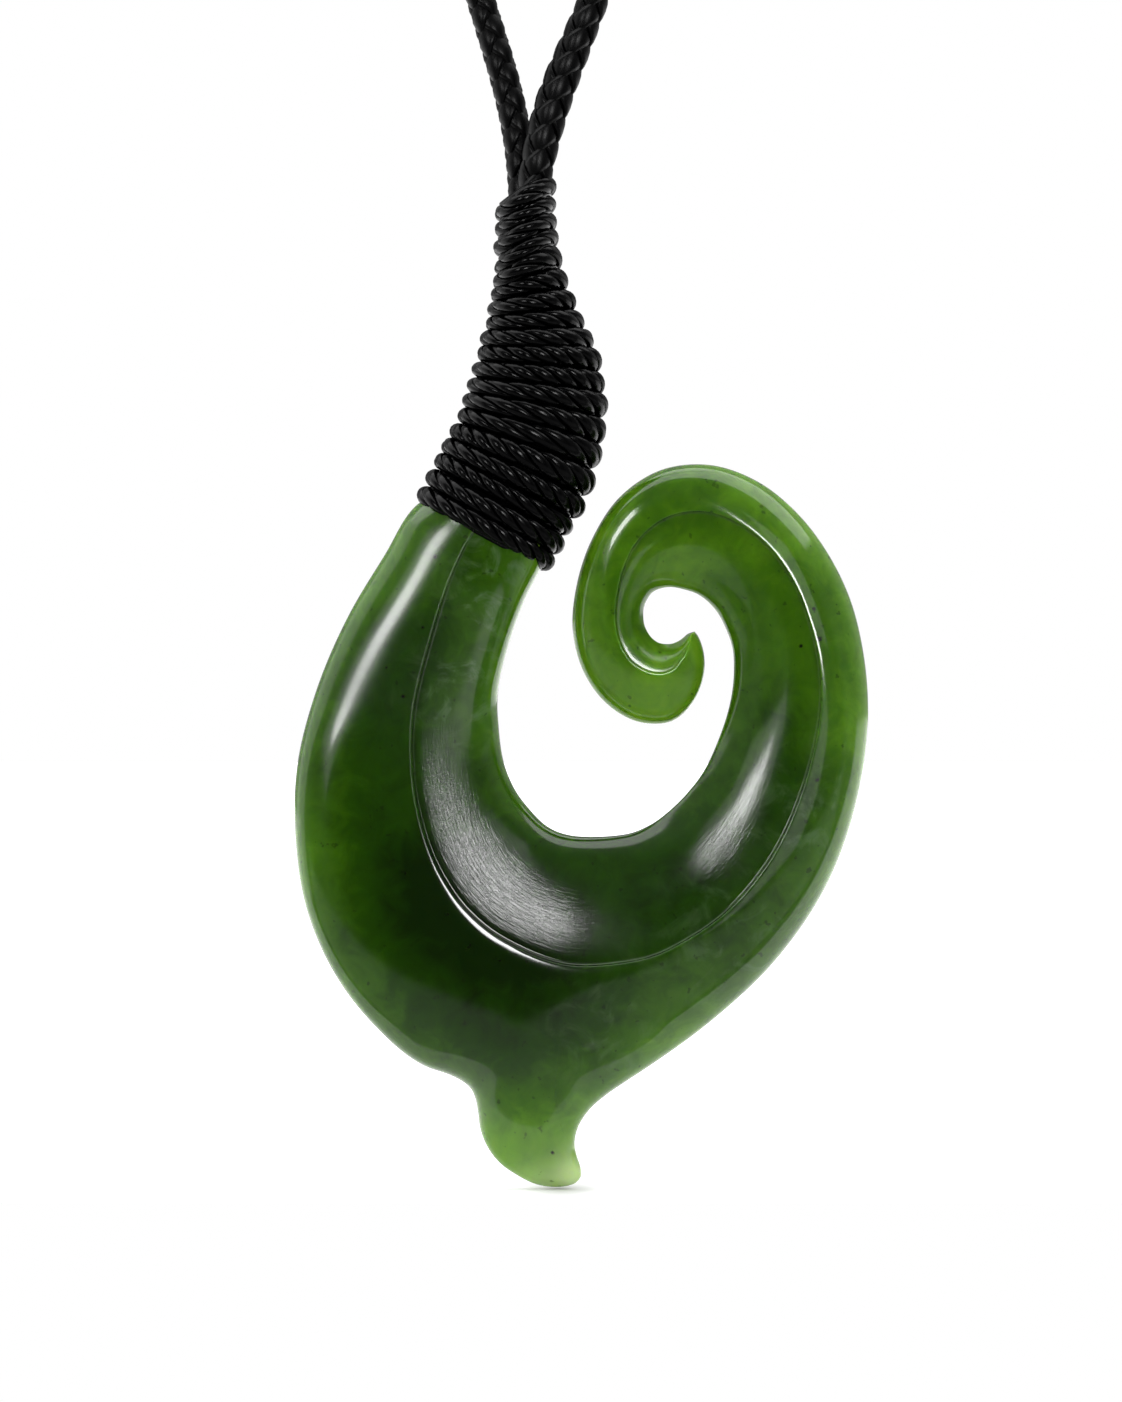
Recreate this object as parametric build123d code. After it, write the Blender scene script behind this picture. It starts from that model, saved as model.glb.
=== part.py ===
from build123d import *
from collections import namedtuple
import math
import os

os.makedirs("parts", exist_ok=True)

# A carved stone fish hook that hangs from a plaited neck cord. Millimetres, +Z up, the hook's face towards -Y.
# The origin is where the loop bears on the nape of the neck, under the middle of the clasp.

# The stone hook
hook_width = 44.0
hook_height = 68.0
hook_thickness = 7.6
ridge_step = 0.7
step_run = 0.25
tang_thickness = 5.4

# The cord that is wound round the tang and the neck cords
lashing_diameter = 1.4
stone_turns = 14
neck_winding_height = 7.2
neck_turns = 5
winding_slope = 26.0

# The plaited neck cord and its clasp
neck_cord_diameter = 2.2
clasp_length = 12.0
clasp_diameter = 4.6
clasp_edge = 0.8
socket_depth = 3.0

# Room left between pieces that touch on the real object
fit_gap = 0.1
end_gap = 0.3

# Each row is one cut across the stone, from its outer edge to its inner edge, from the lashing to the curled tip.
# x is a share of hook_width from the hook's left side, z a share of hook_height up from the foot of its tail.
# thickness is a share of hook_thickness, ridge the ridge's place from the outer edge, step a share of ridge_step.
Cut = namedtuple("Cut", "outer_x outer_z inner_x inner_z thickness ridge step")
HOOK_CUTS = [
    Cut(0.208, 0.769, 0.432, 0.705, 0.84, 0.46, 0.15),
    Cut(0.156, 0.715, 0.400, 0.662, 0.88, 0.48, 0.80),
    Cut(0.094, 0.648, 0.373, 0.613, 0.92, 0.53, 1.00),
    Cut(0.033, 0.555, 0.354, 0.559, 0.95, 0.56, 1.00),
    Cut(0.005, 0.483, 0.355, 0.519, 0.97, 0.57, 1.00),
    Cut(0.000, 0.395, 0.363, 0.482, 0.99, 0.58, 1.00),
    Cut(0.020, 0.313, 0.381, 0.452, 1.00, 0.58, 1.00),
    Cut(0.065, 0.245, 0.406, 0.429, 1.00, 0.57, 1.00),
    Cut(0.129, 0.189, 0.439, 0.408, 1.00, 0.56, 1.00),
    Cut(0.232, 0.135, 0.477, 0.398, 1.00, 0.55, 1.00),
    Cut(0.418, 0.111, 0.526, 0.396, 1.00, 0.50, 1.00),
    Cut(0.610, 0.133, 0.577, 0.399, 0.99, 0.47, 1.00),
    Cut(0.729, 0.189, 0.612, 0.407, 0.98, 0.42, 1.00),
    Cut(0.837, 0.255, 0.645, 0.421, 0.97, 0.39, 1.00),
    Cut(0.927, 0.340, 0.685, 0.446, 0.96, 0.38, 1.00),
    Cut(0.981, 0.438, 0.719, 0.477, 0.94, 0.37, 1.00),
    Cut(1.000, 0.534, 0.750, 0.526, 0.92, 0.35, 1.00),
    Cut(0.991, 0.607, 0.764, 0.567, 0.90, 0.35, 1.00),
    Cut(0.969, 0.664, 0.764, 0.605, 0.87, 0.37, 1.00),
    Cut(0.932, 0.714, 0.750, 0.633, 0.84, 0.36, 1.00),
    Cut(0.876, 0.762, 0.731, 0.654, 0.81, 0.36, 1.00),
    Cut(0.806, 0.798, 0.705, 0.669, 0.78, 0.37, 0.95),
    Cut(0.727, 0.816, 0.675, 0.676, 0.75, 0.38, 0.90),
    Cut(0.640, 0.811, 0.650, 0.678, 0.72, 0.42, 0.85),
    Cut(0.566, 0.780, 0.628, 0.674, 0.69, 0.48, 0.80),
    Cut(0.521, 0.737, 0.615, 0.665, 0.66, 0.54, 0.75),
    Cut(0.491, 0.681, 0.608, 0.653, 0.63, 0.59, 0.70),
    Cut(0.484, 0.630, 0.608, 0.640, 0.61, 0.60, 0.65),
    Cut(0.502, 0.583, 0.612, 0.631, 0.59, 0.60, 0.60),
    Cut(0.540, 0.548, 0.622, 0.621, 0.57, 0.60, 0.55),
    Cut(0.603, 0.525, 0.636, 0.615, 0.54, 0.62, 0.50),
    Cut(0.659, 0.527, 0.654, 0.614, 0.51, 0.65, 0.45),
    Cut(0.698, 0.552, 0.668, 0.617, 0.46, 0.72, 0.35),
    Cut(0.714, 0.583, 0.677, 0.621, 0.40, 0.76, 0.20),
    Cut(0.710, 0.612, 0.684, 0.625, 0.30, 0.78, 0.10),
    Cut(0.702, 0.624, 0.691, 0.627, 0.18, 0.78, 0.05),
]
cuts_per_row = 2

# How the stone's section rounds off, as shares of each band's width and of half its thickness
rim_width_share = 0.12
rim_depth_share = 0.55
dome_width_share = 0.45
dome_depth_share = 0.87
back_depth_share = 0.95
step_run_limit = 0.25
band_lift_share = 0.25

# Each row is one cut across the little tail, in the same shares, from inside the bowl to its foot
TailCut = namedtuple("TailCut", "left_x left_z right_x right_z thickness")
TAIL_CUTS = [
    TailCut(0.234, 0.229, 0.689, 0.229, 0.84),
    TailCut(0.243, 0.146, 0.620, 0.148, 0.81),
    TailCut(0.292, 0.122, 0.584, 0.124, 0.77),
    TailCut(0.311, 0.104, 0.546, 0.105, 0.73),
    TailCut(0.318, 0.085, 0.514, 0.087, 0.68),
    TailCut(0.323, 0.064, 0.491, 0.063, 0.61),
    TailCut(0.336, 0.044, 0.488, 0.046, 0.54),
    TailCut(0.355, 0.028, 0.493, 0.033, 0.47),
    TailCut(0.385, 0.014, 0.497, 0.021, 0.39),
    TailCut(0.416, 0.004, 0.499, 0.014, 0.28),
    TailCut(0.448, 0.000, 0.490, 0.004, 0.15),
]

# Each row is one cut across the tang that the lashing grips, from its top down to the hook's shoulder.
# thickness is a share of tang_thickness. The turns of lashing are spread evenly over the rows.
TangCut = namedtuple("TangCut", "left_x left_z right_x right_z thickness")
TANG_CUTS = [
    TangCut(0.369, 1.014, 0.448, 1.023, 0.66),
    TangCut(0.362, 0.976, 0.479, 0.979, 0.78),
    TangCut(0.348, 0.946, 0.503, 0.934, 0.88),
    TangCut(0.329, 0.906, 0.516, 0.885, 0.95),
    TangCut(0.311, 0.871, 0.507, 0.833, 1.00),
    TangCut(0.283, 0.830, 0.477, 0.776, 1.00),
    TangCut(0.255, 0.792, 0.441, 0.738, 1.00),
    TangCut(0.229, 0.765, 0.418, 0.709, 1.00),
]
tang_root = 1.6

# How deep the furrow between two turns is, as what is left of the cord's diameter there
furrow_share = 0.72

# The neck cords' routes, from inside the lashing up to the clasp at the nape. The right cord passes in front.
LEFT_ROUTE = [
    (-6.35, -110.87, -180.3),
    (-6.4, -110.87, -174.3),
    (-7.15, -110.8, -167.4),
    (-9.8, -110.5, -158.6),
    (-15.4, -109.7, -141.0),
    (-26.0, -107.2, -109.0),
    (-39.8, -102.0, -69.0),
    (-50.2, -93.6, -38.6),
    (-56.5, -81.0, -17.5),
    (-58.8, -60.0, -6.0),
    (-54.5, -36.5, -1.2),
    (-41.0, -14.5, 1.6),
    (-25.6, -3.7, 2.3),
    (-12.6, -0.15, 2.35),
    (-3.1, 0.0, 2.3),
]
RIGHT_ROUTE = [
    (-6.25, -113.13, -180.3),
    (-5.9, -113.13, -174.9),
    (-4.5, -113.2, -169.2),
    (-1.65, -113.1, -160.6),
    (4.9, -112.4, -142.6),
    (16.9, -109.8, -112.5),
    (32.8, -103.8, -71.8),
    (46.3, -94.6, -40.5),
    (55.2, -81.8, -18.8),
    (58.9, -61.2, -6.6),
    (55.2, -37.6, -1.5),
    (42.2, -15.6, 1.5),
    (26.3, -4.2, 2.3),
    (12.9, -0.2, 2.35),
    (3.1, 0.0, 2.3),
]
arc_share = 0.45
bore_points = 4

# The stone hangs just under the cords' ends, which come down at this share of the hook's width
cord_foot = (Vector(*LEFT_ROUTE[0]) + Vector(*RIGHT_ROUTE[0])) / 2
cord_spread = abs(LEFT_ROUTE[0][1] - RIGHT_ROUTE[0][1]) / 2
cord_place = 0.402
hook_left = cord_foot.X - cord_place * hook_width
hook_foot = cord_foot.Z - end_gap - TANG_CUTS[0].right_z * hook_height


def stone_point(x_share, z_share):
    """A point in the stone's middle plane, from its shares of the hook's width and height."""
    return Vector(hook_left + x_share * hook_width, cord_foot.Y, hook_foot + z_share * hook_height)


def cut_middle(cut):
    """The middle of one cut across the stone."""
    return (stone_point(cut.outer_x, cut.outer_z) + stone_point(cut.inner_x, cut.inner_z)) / 2


def between(rows, position):
    """The row at a fractional position of a table, on a smooth curve through the table's rows."""
    last = len(rows) - 1
    index = min(int(position), last - 1)
    part = position - index
    before, start, end, after = (rows[max(0, min(last, index + step))] for step in (-1, 0, 1, 2))
    values = []
    for p0, p1, p2, p3 in zip(before, start, end, after):
        slope_in = (p2 - p0) / 2
        slope_out = (p3 - p1) / 2
        bend = 3 * (p2 - p1) - 2 * slope_in - slope_out
        twist = 2 * (p1 - p2) + slope_in + slope_out
        values.append(p1 + part * (slope_in + part * (bend + part * twist)))
    return type(start)(*values)


def arc_edge(start, middle, end):
    """An arc through three points."""
    return Edge.make_three_point_arc(start, middle, end)


def hook_section(cut):
    """The stone's outline across one cut: round rims, a domed band up to the ridge, a step and the inner band."""
    outer = stone_point(cut.outer_x, cut.outer_z)
    inner = stone_point(cut.inner_x, cut.inner_z)
    span = (inner - outer).length
    across = (inner - outer).normalized()
    half = hook_thickness * cut.thickness / 2
    outer_band = cut.ridge * span
    inner_band = span - outer_band
    foot_run = min(step_run, inner_band * step_run_limit)
    foot_depth = half - ridge_step * cut.step
    outer_rim = outer_band * rim_width_share
    inner_rim = inner_band * rim_width_share
    rim_depth = half * rim_depth_share

    def at(along, depth):
        return outer + across * along + Vector(0, depth, 0)

    outer_back = at(outer_rim, rim_depth)
    outer_front = at(outer_rim, -rim_depth)
    ridge_top = at(outer_band, -half)
    ridge_foot = at(outer_band + foot_run, -foot_depth)
    inner_front = at(span - inner_rim, -rim_depth)
    inner_back = at(span - inner_rim, rim_depth)
    dome = at(outer_band * dome_width_share, -half * dome_depth_share)
    band_depth = foot_depth * dome_depth_share + ridge_step * cut.step * band_lift_share
    band = at(outer_band + inner_band / 2, -band_depth)
    return Wire([
        arc_edge(outer_back, at(0, 0), outer_front),
        arc_edge(outer_front, dome, ridge_top),
        Edge.make_line(ridge_top, ridge_foot),
        arc_edge(ridge_foot, band, inner_front),
        arc_edge(inner_front, at(span, 0), inner_back),
        arc_edge(inner_back, at(span / 2, half * back_depth_share), outer_back),
    ])


def tail_section(cut):
    """The tail's outline across one cut: two round rims and a domed face on each side."""
    left = stone_point(cut.left_x, cut.left_z)
    right = stone_point(cut.right_x, cut.right_z)
    span = (right - left).length
    across = (right - left).normalized()
    half = hook_thickness * cut.thickness / 2
    rim = span * rim_width_share
    rim_depth = half * rim_depth_share

    def at(along, depth):
        return left + across * along + Vector(0, depth, 0)

    return Wire([
        arc_edge(at(rim, rim_depth), at(0, 0), at(rim, -rim_depth)),
        arc_edge(at(rim, -rim_depth), at(span / 2, -half), at(span - rim, -rim_depth)),
        arc_edge(at(span - rim, -rim_depth), at(span, 0), at(span - rim, rim_depth)),
        arc_edge(at(span - rim, rim_depth), at(span / 2, half * back_depth_share), at(rim, rim_depth)),
    ])


def ring(left, right, half_depth, offset):
    """An oval ring round the line from left to right, standing off it by the offset."""
    plane = Plane((left + right) / 2, x_dir=right - left, z_dir=(right - left).cross(Vector(0, 1, 0)))
    half_width = (right - left).length / 2
    return Wire([Edge.make_ellipse(half_width + offset, half_depth + offset, plane)])


def tang_ring(cut, offset):
    """The oval outline of one cut across the tang, with a wall of the given offset round it."""
    left = stone_point(cut.left_x, cut.left_z)
    right = stone_point(cut.right_x, cut.right_z)
    return ring(left, right, tang_thickness * cut.thickness / 2, offset)


def neck_ring(height, offset):
    """A sloping oval ring round the two neck cords, at a height above their ends."""
    slope = math.radians(winding_slope)
    reach = Vector(math.cos(slope), 0, math.sin(slope)) * (neck_cord_diameter / 2)
    centre = cord_foot + Vector(0, 0, height)
    return ring(centre - reach, centre + reach, cord_spread + neck_cord_diameter / 2, offset)


def loft_rings(wires):
    """A closed solid with straight walls from each ring to the next."""
    return Solid.make_loft(wires, ruled=True)


def cord_tube(route, diameter):
    """A cord along its route: straight runs joined by the largest arcs that the runs leave room for."""
    points = [Vector(*point) for point in route]
    runs = [b - a for a, b in zip(points, points[1:])]
    radii = []
    for run, following in zip(runs, runs[1:]):
        turn = math.radians(run.get_angle(following))
        radii.append(arc_share * min(run.length, following.length) / math.tan(turn / 2))
    path = Wire(FilletPolyline(*points, radius=radii).edges())
    start = Plane(origin=points[0], z_dir=runs[0])
    return sweep(start * Circle(diameter / 2), path=path), path, radii


def cord_bore(route):
    """The room for a neck cord inside the lashing, which runs on down into the tang's own hollow."""
    foot_x, foot_y, foot_z = route[0]
    bottom = (foot_x, foot_y, foot_z - 2 * end_gap)
    return cord_tube([bottom, *route[1:bore_points]], neck_cord_diameter + 2 * fit_gap)[0]


def make_hook():
    """The stone: the tang, the curled body and the tail in one solid."""
    positions = [i / cuts_per_row for i in range(cuts_per_row * (len(HOOK_CUTS) - 1) + 1)]
    body = loft_rings([hook_section(between(HOOK_CUTS, position)) for position in positions])
    tail = loft_rings([tail_section(cut) for cut in TAIL_CUTS])
    tang_rings = [tang_ring(cut, 0) for cut in TANG_CUTS]
    shank = cut_middle(HOOK_CUTS[1]) - cut_middle(HOOK_CUTS[0])
    root = tang_rings[-1].moved(Location(shank.normalized() * tang_root))
    tang = loft_rings([*tang_rings[:-1], root])
    return body.fuse(tail, tang)


def make_lashing(bores):
    """The wound cord as a ribbed sleeve, one rib a turn, hollow for the tang and the two neck cords."""
    furrow = lashing_diameter * furrow_share + fit_gap
    crest = lashing_diameter + fit_gap
    wires = []
    for half_turn in range(2 * neck_turns):
        height = neck_winding_height * (1 - half_turn / (2 * neck_turns))
        wires.append(neck_ring(height, crest if half_turn % 2 else furrow))
    for half_turn in range(2 * stone_turns):
        position = half_turn / (2 * stone_turns) * (len(TANG_CUTS) - 1)
        wires.append(tang_ring(between(TANG_CUTS, position), crest if half_turn % 2 else furrow))
    wires.append(tang_ring(TANG_CUTS[-1], furrow).moved(Location((0, 0, fit_gap))))
    hollow_rings = [tang_ring(cut, fit_gap) for cut in TANG_CUTS]
    roof = hollow_rings[0].moved(Location((0, 0, end_gap)))
    hollow = loft_rings([roof, *hollow_rings])
    return loft_rings(wires).cut(hollow, *bores)


def make_clasp():
    """A plain barrel with a socket in each end for the neck cords."""
    centre = Vector(0, LEFT_ROUTE[-1][1], LEFT_ROUTE[-1][2])
    barrel = Cylinder(clasp_diameter / 2, clasp_length, rotation=(0, 90, 0))
    barrel = chamfer(barrel.edges(), clasp_edge)
    socket = Cylinder(neck_cord_diameter / 2 + fit_gap, socket_depth, rotation=(0, 90, 0))
    for side in (-1, 1):
        barrel -= Pos(side * (clasp_length - socket_depth) / 2, 0, 0) * socket
    return Pos(*centre) * barrel


left_cord, left_path, left_radii = cord_tube(LEFT_ROUTE, neck_cord_diameter)
right_cord, right_path, right_radii = cord_tube(RIGHT_ROUTE, neck_cord_diameter)
cord_bores = [cord_bore(route) for route in (LEFT_ROUTE, RIGHT_ROUTE)]

pieces = {
    "jade_hook": make_hook(),
    "lashing": make_lashing(cord_bores),
    "neck_cord_left": left_cord,
    "neck_cord_right": right_cord,
    "clasp": make_clasp(),
}
for name, piece in pieces.items():
    export_step(piece, f"parts/{name}.step")

for name, path, radii, cord in (
    ("left", left_path, left_radii, left_cord),
    ("right", right_path, right_radii, right_cord),
):
    expected = math.pi * (neck_cord_diameter / 2) ** 2 * path.length
    print(name, "cord length", round(path.length, 1), "radii", [round(radius, 1) for radius in radii])
    print(name, "cord volume", round(cord.volume, 1), "expected", round(expected, 1))
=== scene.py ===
import math
from collections import namedtuple

import bpy
import numpy as np
from mathutils import Matrix, Vector
from mathutils.kdtree import KDTree


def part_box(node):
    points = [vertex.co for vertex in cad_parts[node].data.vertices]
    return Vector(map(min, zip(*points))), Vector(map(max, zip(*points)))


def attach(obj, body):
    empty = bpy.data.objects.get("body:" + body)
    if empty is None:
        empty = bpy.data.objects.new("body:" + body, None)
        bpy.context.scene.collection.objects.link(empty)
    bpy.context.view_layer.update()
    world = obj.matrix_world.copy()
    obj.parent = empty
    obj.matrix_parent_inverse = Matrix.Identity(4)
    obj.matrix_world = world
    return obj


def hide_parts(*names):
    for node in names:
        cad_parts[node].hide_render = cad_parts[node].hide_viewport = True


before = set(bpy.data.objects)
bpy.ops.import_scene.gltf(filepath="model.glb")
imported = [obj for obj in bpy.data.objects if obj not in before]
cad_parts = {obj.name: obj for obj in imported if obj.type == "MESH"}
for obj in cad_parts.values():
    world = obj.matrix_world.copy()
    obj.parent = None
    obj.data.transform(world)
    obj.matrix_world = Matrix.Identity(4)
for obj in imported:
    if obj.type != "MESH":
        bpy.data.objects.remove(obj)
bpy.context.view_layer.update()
MM = 0.001

# Sizes and shares that the solids have too. Lengths are in metres.
hook_thickness = 7.6 * MM
ridge_step = 0.7 * MM
tang_thickness = 5.4 * MM
lashing_diameter = 1.4 * MM
neck_cord_diameter = 2.2 * MM
neck_turns = 5
stone_turns = 14
fit_gap = 0.1 * MM
back_share = 0.95

# Each row is one cut across the stone from its outer to its inner edge, from the lashing to the curled tip.
# x is a share of the hook's width from its left side, z one of its height from the tail's foot. thickness is
# a share of hook_thickness, step one of ridge_step, and ridge how far across the cut the ridge lies.
Cut = namedtuple("Cut", "outer_x outer_z inner_x inner_z thickness ridge step")
HOOK_CUTS = [
    Cut(0.208, 0.769, 0.432, 0.705, 0.84, 0.46, 0.15),
    Cut(0.156, 0.715, 0.400, 0.662, 0.88, 0.48, 0.80),
    Cut(0.094, 0.648, 0.373, 0.613, 0.92, 0.53, 1.00),
    Cut(0.033, 0.555, 0.354, 0.559, 0.95, 0.56, 1.00),
    Cut(0.005, 0.483, 0.355, 0.519, 0.97, 0.57, 1.00),
    Cut(0.000, 0.395, 0.363, 0.482, 0.99, 0.58, 1.00),
    Cut(0.020, 0.313, 0.381, 0.452, 1.00, 0.58, 1.00),
    Cut(0.065, 0.245, 0.406, 0.429, 1.00, 0.57, 1.00),
    Cut(0.129, 0.189, 0.439, 0.408, 1.00, 0.56, 1.00),
    Cut(0.232, 0.135, 0.477, 0.398, 1.00, 0.55, 1.00),
    Cut(0.418, 0.111, 0.526, 0.396, 1.00, 0.50, 1.00),
    Cut(0.610, 0.133, 0.577, 0.399, 0.99, 0.47, 1.00),
    Cut(0.729, 0.189, 0.612, 0.407, 0.98, 0.42, 1.00),
    Cut(0.837, 0.255, 0.645, 0.421, 0.97, 0.39, 1.00),
    Cut(0.927, 0.340, 0.685, 0.446, 0.96, 0.38, 1.00),
    Cut(0.981, 0.438, 0.719, 0.477, 0.94, 0.37, 1.00),
    Cut(1.000, 0.534, 0.750, 0.526, 0.92, 0.35, 1.00),
    Cut(0.991, 0.607, 0.764, 0.567, 0.90, 0.35, 1.00),
    Cut(0.969, 0.664, 0.764, 0.605, 0.87, 0.37, 1.00),
    Cut(0.932, 0.714, 0.750, 0.633, 0.84, 0.36, 1.00),
    Cut(0.876, 0.762, 0.731, 0.654, 0.81, 0.36, 1.00),
    Cut(0.806, 0.798, 0.705, 0.669, 0.78, 0.37, 0.95),
    Cut(0.727, 0.816, 0.675, 0.676, 0.75, 0.38, 0.90),
    Cut(0.640, 0.811, 0.650, 0.678, 0.72, 0.42, 0.85),
    Cut(0.566, 0.780, 0.628, 0.674, 0.69, 0.48, 0.80),
    Cut(0.521, 0.737, 0.615, 0.665, 0.66, 0.54, 0.75),
    Cut(0.491, 0.681, 0.608, 0.653, 0.63, 0.59, 0.70),
    Cut(0.484, 0.630, 0.608, 0.640, 0.61, 0.60, 0.65),
    Cut(0.502, 0.583, 0.612, 0.631, 0.59, 0.60, 0.60),
    Cut(0.540, 0.548, 0.622, 0.621, 0.57, 0.60, 0.55),
    Cut(0.603, 0.525, 0.636, 0.615, 0.54, 0.62, 0.50),
    Cut(0.659, 0.527, 0.654, 0.614, 0.51, 0.65, 0.45),
    Cut(0.698, 0.552, 0.668, 0.617, 0.46, 0.72, 0.35),
    Cut(0.714, 0.583, 0.677, 0.621, 0.40, 0.76, 0.20),
    Cut(0.710, 0.612, 0.684, 0.625, 0.30, 0.78, 0.10),
    Cut(0.702, 0.624, 0.691, 0.627, 0.18, 0.78, 0.05),
    Cut(0.697, 0.628, 0.697, 0.628, 0.00, 0.78, 0.00),
]

# The little tail's outline, from the hook's left flank round its foot to the right flank, in the same shares.
# It takes the place of the outer edge between these two rows of the table of cuts.
tail_starts = 9
tail_ends = 11
TailPoint = namedtuple("TailPoint", "x z")
TAIL_OUTLINE = [
    TailPoint(0.268, 0.127),
    TailPoint(0.292, 0.119),
    TailPoint(0.306, 0.111),
    TailPoint(0.313, 0.101),
    TailPoint(0.318, 0.085),
    TailPoint(0.323, 0.064),
    TailPoint(0.336, 0.044),
    TailPoint(0.355, 0.028),
    TailPoint(0.385, 0.014),
    TailPoint(0.416, 0.004),
    TailPoint(0.448, 0.000),
    TailPoint(0.473, 0.001),
    TailPoint(0.490, 0.005),
    TailPoint(0.499, 0.013),
    TailPoint(0.498, 0.022),
    TailPoint(0.492, 0.034),
    TailPoint(0.488, 0.048),
    TailPoint(0.493, 0.066),
    TailPoint(0.512, 0.086),
    TailPoint(0.541, 0.103),
    TailPoint(0.577, 0.119),
]

# How the tail thins towards its foot: a share of hook_thickness at a height
TailDepth = namedtuple("TailDepth", "z thickness")
TAIL_DEPTHS = [
    TailDepth(0.000, 0.14),
    TailDepth(0.010, 0.30),
    TailDepth(0.030, 0.47),
    TailDepth(0.064, 0.61),
    TailDepth(0.104, 0.73),
    TailDepth(0.150, 0.86),
    TailDepth(0.220, 1.00),
]
# The middle of the tail's narrow neck, in the same shares, and how far in from its edges the tail is domed
tail_neck = (0.4056, 0.1154)
tail_half_width = 3.3 * MM

# Each row is one cut across the tang that the lashing grips, from its top down to the hook's shoulder
TangCut = namedtuple("TangCut", "left_x left_z right_x right_z thickness")
TANG_CUTS = [
    TangCut(0.369, 1.014, 0.448, 1.023, 0.66),
    TangCut(0.362, 0.976, 0.479, 0.979, 0.78),
    TangCut(0.348, 0.946, 0.503, 0.934, 0.88),
    TangCut(0.329, 0.906, 0.516, 0.885, 0.95),
    TangCut(0.311, 0.871, 0.507, 0.833, 1.00),
    TangCut(0.283, 0.830, 0.477, 0.776, 1.00),
    TangCut(0.255, 0.792, 0.441, 0.738, 1.00),
    TangCut(0.229, 0.765, 0.418, 0.709, 1.00),
]
top_share = TANG_CUTS[0].right_z

# The neck cords' routes, from inside the lashing up to the clasp at the nape, in metres
LEFT_ROUTE = [
    (-0.00635, -0.11087, -0.1803),
    (-0.0064, -0.11087, -0.1743),
    (-0.00715, -0.1108, -0.1674),
    (-0.0098, -0.1105, -0.1586),
    (-0.0154, -0.1097, -0.1410),
    (-0.0260, -0.1072, -0.1090),
    (-0.0398, -0.1020, -0.0690),
    (-0.0502, -0.0936, -0.0386),
    (-0.0565, -0.0810, -0.0175),
    (-0.0588, -0.0600, -0.0060),
    (-0.0545, -0.0365, -0.0012),
    (-0.0410, -0.0145, 0.0016),
    (-0.0256, -0.0037, 0.0023),
    (-0.0126, -0.00015, 0.00235),
    (-0.0031, 0.0, 0.0023),
]
RIGHT_ROUTE = [
    (-0.00625, -0.11313, -0.1803),
    (-0.0059, -0.11313, -0.1749),
    (-0.0045, -0.1132, -0.1692),
    (-0.00165, -0.1131, -0.1606),
    (0.0049, -0.1124, -0.1426),
    (0.0169, -0.1098, -0.1125),
    (0.0328, -0.1038, -0.0718),
    (0.0463, -0.0946, -0.0405),
    (0.0552, -0.0818, -0.0188),
    (0.0589, -0.0612, -0.0066),
    (0.0552, -0.0376, -0.0015),
    (0.0422, -0.0156, 0.0015),
    (0.0263, -0.0042, 0.0023),
    (0.0129, -0.0002, 0.00235),
    (0.0031, 0.0, 0.0023),
]

# Where the stone lies: its tang's top gives the scale of the heights
hook_low, hook_high = (np.array(corner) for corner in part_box("jade_hook"))
hook_width = hook_high[0] - hook_low[0]
hook_height = (hook_high[2] - hook_low[2]) / top_share
cord_foot = (np.array(LEFT_ROUTE[0]) + np.array(RIGHT_ROUTE[0])) / 2
cord_spread = abs(LEFT_ROUTE[0][1] - RIGHT_ROUTE[0][1]) / 2
plane_y = cord_foot[1]


def place(x_shares, z_shares):
    """Points of the stone's middle plane, as x and z in metres."""
    x = hook_low[0] + np.asarray(x_shares) * hook_width
    z = hook_low[2] + np.asarray(z_shares) * hook_height
    return np.stack([x, z], axis=-1)


def smooth_curve(knots, values, places):
    """Values at the given places, on a smooth curve through the values at the knots."""
    knots = np.asarray(knots, float)
    values = np.asarray(values, float).reshape(len(knots), -1)
    gaps = np.diff(knots)[:, None]
    slopes = np.diff(values, axis=0) / gaps
    weights = gaps[1:] / (gaps[:-1] + gaps[1:])
    tangents = np.vstack([slopes[:1], slopes[:-1] * weights + slopes[1:] * (1 - weights), slopes[-1:]])
    index = np.clip(np.searchsorted(knots, places, side="right") - 1, 0, len(knots) - 2)
    gap = gaps[index]
    part = (np.asarray(places) - knots[index])[:, None] / gap
    start, end = values[index], values[index + 1]
    slope_in, slope_out = tangents[index] * gap, tangents[index + 1] * gap
    bend = 3 * (end - start) - 2 * slope_in - slope_out
    twist = 2 * (start - end) + slope_in + slope_out
    return start + part * (slope_in + part * (bend + part * twist))


def ease(low, high, values):
    """A smooth rise from 0 at low to 1 at high."""
    part = np.clip((values - low) / (high - low), 0, 1)
    return part * part * (3 - 2 * part)


def lengths_along(points):
    """The distance of each point of a line from its start."""
    return np.concatenate([[0], np.cumsum(np.linalg.norm(np.diff(points, axis=0), axis=1))])


def end_spaced(count):
    """Places from 0 to 1, closer together towards both ends."""
    return (1 - np.cos(np.pi * np.arange(count + 1) / count)) / 2


def mesh_piece(name, points, faces, material, smooth=True):
    """A mesh object from its points and faces."""
    mesh = bpy.data.meshes.new(name)
    mesh.from_pydata(points.tolist(), [], faces)
    mesh.validate()
    mesh.polygons.foreach_set("use_smooth", [smooth] * len(mesh.polygons))
    mesh.materials.append(material)
    piece = bpy.data.objects.new(name, mesh)
    bpy.context.scene.collection.objects.link(piece)
    return piece


def ring_faces(rings, sides, first=0):
    """Quads that join each ring of points to the next."""
    start = first + np.arange(rings - 1)[:, None] * sides + np.arange(sides)
    following = first + np.arange(rings - 1)[:, None] * sides + (np.arange(sides) + 1) % sides
    return np.stack([start, following, following + sides, start + sides], axis=-1).reshape(-1, 4).tolist()


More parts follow.
